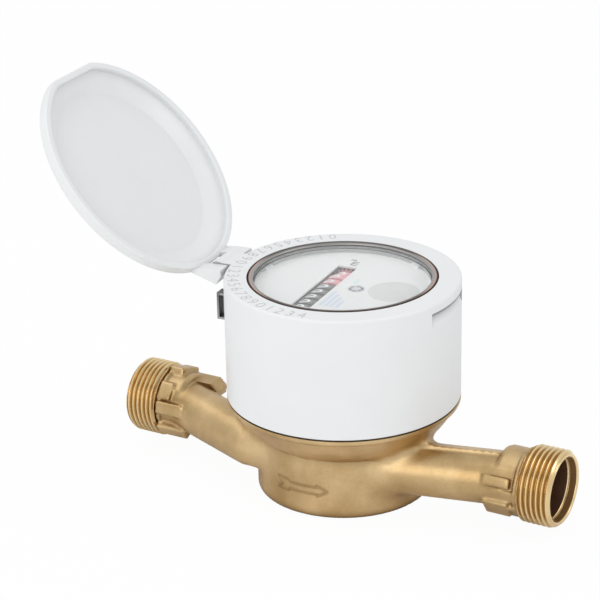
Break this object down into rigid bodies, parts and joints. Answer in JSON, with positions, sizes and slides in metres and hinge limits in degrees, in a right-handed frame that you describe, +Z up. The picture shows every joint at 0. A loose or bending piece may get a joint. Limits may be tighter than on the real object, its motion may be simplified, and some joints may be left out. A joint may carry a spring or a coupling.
{
  "type": "water meter",
  "caption": "Brass water meter with skewed threaded pipe ends, a copper-canned dry register with a roller counter, and a white housing with a hinged lid.",
  "frame": {"origin": "middle of the flat base under the bowl", "axes": "+X the way the water flows, from inlet to outlet, +Y away from the side with the flow arrow, +Z up along the axis of the register"},
  "size_m": [0.1868, 0.0874, 0.1358],
  "materials": {
    "cast_brass": "sand cast and shot blasted, threads machined",
    "turned_brass": "turned",
    "copper": "drawn copper, bright where it is crimped",
    "white_shell": "moulded, satin gloss",
    "dial_white": "printed",
    "gear_plastic": "moulded",
    "wheel_plastic": "moulded",
    "roller_black": "moulded, white digits",
    "roller_red": "moulded, white digits",
    "star_grey": "moulded",
    "steel": "drawn",
    "magnet": "sintered",
    "seal_rubber": "matt",
    "gasket_grey": "matt",
    "strainer_plastic": "moulded",
    "window_glass": "clear"
  },
  "bodies": {
    "meter": {"meter_body": "cast_brass", "inlet_strainer": "strainer_plastic", "pivot_pin": "steel", "pressure_plate": "turned_brass", "plate_seal": "seal_rubber", "clamp_ring": "turned_brass", "register_can": "copper", "register_base": "gear_plastic", "counter_frame": "gear_plastic", "roller_shaft": "steel", "carry_shaft": "steel", "dial_plate": "dial_white", "glass_gasket": "gasket_grey", "register_glass": "window_glass", "housing": "white_shell", "hinge_pin": "steel", "locking_clip": "steel"},
    "lid": {"lid": "white_shell"},
    "impeller": {"impeller": "wheel_plastic", "drive_magnet": "magnet"},
    "follower": {"follower_shaft": "gear_plastic", "follower_magnet": "magnet"},
    "gear_1": {"gear_1": "gear_plastic"},
    "gear_2": {"gear_2": "gear_plastic"},
    "gear_3": {"gear_3": "gear_plastic"},
    "roller_1": {"roller_1": "roller_red"},
    "roller_2": {"roller_2": "roller_red"},
    "roller_3": {"roller_3": "roller_red"},
    "roller_4": {"roller_4": "roller_black"},
    "roller_5": {"roller_5": "roller_black"},
    "roller_6": {"roller_6": "roller_black"},
    "roller_7": {"roller_7": "roller_black"},
    "roller_8": {"roller_8": "roller_black"},
    "carry_1": {"carry_1": "gear_plastic"},
    "carry_2": {"carry_2": "gear_plastic"},
    "carry_3": {"carry_3": "gear_plastic"},
    "carry_4": {"carry_4": "gear_plastic"},
    "carry_5": {"carry_5": "gear_plastic"},
    "carry_6": {"carry_6": "gear_plastic"},
    "carry_7": {"carry_7": "gear_plastic"},
    "flow_star": {"flow_star": "star_grey"}
  },
  "joints": [
    {"name": "lid_hinge", "type": "hinge", "parent": "meter", "child": "lid", "pos_m": [-0.04426, -0.00348, 0.0737], "axis": [-0.0785, 0.9969, 0], "range_deg": [0, 130.5]},
    {"name": "impeller_spin", "type": "hinge", "parent": "meter", "child": "impeller", "pos_m": [0, 0, 0.014], "axis": [0, 0, 1], "continuous": true},
    {"name": "follower_spin", "type": "hinge", "parent": "meter", "child": "follower", "pos_m": [0, 0, 0.038], "axis": [0, 0, 1], "continuous": true},
    {"name": "gear_1_spin", "type": "hinge", "parent": "meter", "child": "gear_1", "pos_m": [0.01068, 0.00453, 0.039], "axis": [0, 0, 1], "continuous": true},
    {"name": "gear_2_spin", "type": "hinge", "parent": "meter", "child": "gear_2", "pos_m": [0.00472, 0.01401, 0.0425], "axis": [0, 0, 1], "continuous": true},
    {"name": "gear_3_spin", "type": "hinge", "parent": "meter", "child": "gear_3", "pos_m": [-0.00605, 0.01317, 0.046], "axis": [0, 0, 1], "continuous": true},
    {"name": "roller_1_spin", "type": "hinge", "parent": "meter", "child": "roller_1", "pos_m": [-0.00469, -0.00408, 0.0625], "axis": [-0.0785, 0.9969, 0], "continuous": true},
    {"name": "roller_2_spin", "type": "hinge", "parent": "meter", "child": "roller_2", "pos_m": [-0.00469, -0.00408, 0.0625], "axis": [-0.0785, 0.9969, 0], "continuous": true},
    {"name": "roller_3_spin", "type": "hinge", "parent": "meter", "child": "roller_3", "pos_m": [-0.00469, -0.00408, 0.0625], "axis": [-0.0785, 0.9969, 0], "continuous": true},
    {"name": "roller_4_spin", "type": "hinge", "parent": "meter", "child": "roller_4", "pos_m": [-0.00469, -0.00408, 0.0625], "axis": [-0.0785, 0.9969, 0], "continuous": true},
    {"name": "roller_5_spin", "type": "hinge", "parent": "meter", "child": "roller_5", "pos_m": [-0.00469, -0.00408, 0.0625], "axis": [-0.0785, 0.9969, 0], "continuous": true},
    {"name": "roller_6_spin", "type": "hinge", "parent": "meter", "child": "roller_6", "pos_m": [-0.00469, -0.00408, 0.0625], "axis": [-0.0785, 0.9969, 0], "continuous": true},
    {"name": "roller_7_spin", "type": "hinge", "parent": "meter", "child": "roller_7", "pos_m": [-0.00469, -0.00408, 0.0625], "axis": [-0.0785, 0.9969, 0], "continuous": true},
    {"name": "roller_8_spin", "type": "hinge", "parent": "meter", "child": "roller_8", "pos_m": [-0.00469, -0.00408, 0.0625], "axis": [-0.0785, 0.9969, 0], "continuous": true},
    {"name": "carry_1_spin", "type": "hinge", "parent": "meter", "child": "carry_1", "pos_m": [-0.01062, -0.00455, 0.05656], "axis": [-0.0785, 0.9969, 0], "continuous": true},
    {"name": "carry_2_spin", "type": "hinge", "parent": "meter", "child": "carry_2", "pos_m": [-0.01062, -0.00455, 0.05656], "axis": [-0.0785, 0.9969, 0], "continuous": true},
    {"name": "carry_3_spin", "type": "hinge", "parent": "meter", "child": "carry_3", "pos_m": [-0.01062, -0.00455, 0.05656], "axis": [-0.0785, 0.9969, 0], "continuous": true},
    {"name": "carry_4_spin", "type": "hinge", "parent": "meter", "child": "carry_4", "pos_m": [-0.01062, -0.00455, 0.05656], "axis": [-0.0785, 0.9969, 0], "continuous": true},
    {"name": "carry_5_spin", "type": "hinge", "parent": "meter", "child": "carry_5", "pos_m": [-0.01062, -0.00455, 0.05656], "axis": [-0.0785, 0.9969, 0], "continuous": true},
    {"name": "carry_6_spin", "type": "hinge", "parent": "meter", "child": "carry_6", "pos_m": [-0.01062, -0.00455, 0.05656], "axis": [-0.0785, 0.9969, 0], "continuous": true},
    {"name": "carry_7_spin", "type": "hinge", "parent": "meter", "child": "carry_7", "pos_m": [-0.01062, -0.00455, 0.05656], "axis": [-0.0785, 0.9969, 0], "continuous": true},
    {"name": "flow_star_spin", "type": "hinge", "parent": "meter", "child": "flow_star", "pos_m": [0.00586, -0.0013, 0.054], "axis": [0, 0, 1], "continuous": true}
  ],
  "couplings": [
    {"joint": "follower_spin", "follows": "impeller_spin", "ratio": 1},
    {"joint": "gear_1_spin", "follows": "impeller_spin", "ratio": -0.20833},
    {"joint": "gear_2_spin", "follows": "impeller_spin", "ratio": 0.04529},
    {"joint": "gear_3_spin", "follows": "impeller_spin", "ratio": -0.010293},
    {"joint": "roller_1_spin", "follows": "impeller_spin", "ratio": -0.0036761},
    {"joint": "roller_2_spin", "follows": "impeller_spin", "ratio": -0.00036761},
    {"joint": "roller_3_spin", "follows": "impeller_spin", "ratio": -0.000036761},
    {"joint": "roller_4_spin", "follows": "impeller_spin", "ratio": -0.0000036761},
    {"joint": "roller_5_spin", "follows": "impeller_spin", "ratio": -0.00000036761},
    {"joint": "roller_6_spin", "follows": "impeller_spin", "ratio": -0.000000036761},
    {"joint": "roller_7_spin", "follows": "impeller_spin", "ratio": -0.0000000036761},
    {"joint": "roller_8_spin", "follows": "impeller_spin", "ratio": -0.00000000036761},
    {"joint": "carry_1_spin", "follows": "impeller_spin", "ratio": 0.00091903},
    {"joint": "carry_2_spin", "follows": "impeller_spin", "ratio": 0.000091903},
    {"joint": "carry_3_spin", "follows": "impeller_spin", "ratio": 0.0000091903},
    {"joint": "carry_4_spin", "follows": "impeller_spin", "ratio": 0.00000091903},
    {"joint": "carry_5_spin", "follows": "impeller_spin", "ratio": 0.000000091903},
    {"joint": "carry_6_spin", "follows": "impeller_spin", "ratio": 0.0000000091903},
    {"joint": "carry_7_spin", "follows": "impeller_spin", "ratio": 0.00000000091903},
    {"joint": "flow_star_spin", "follows": "impeller_spin", "ratio": -0.5}
  ]
}
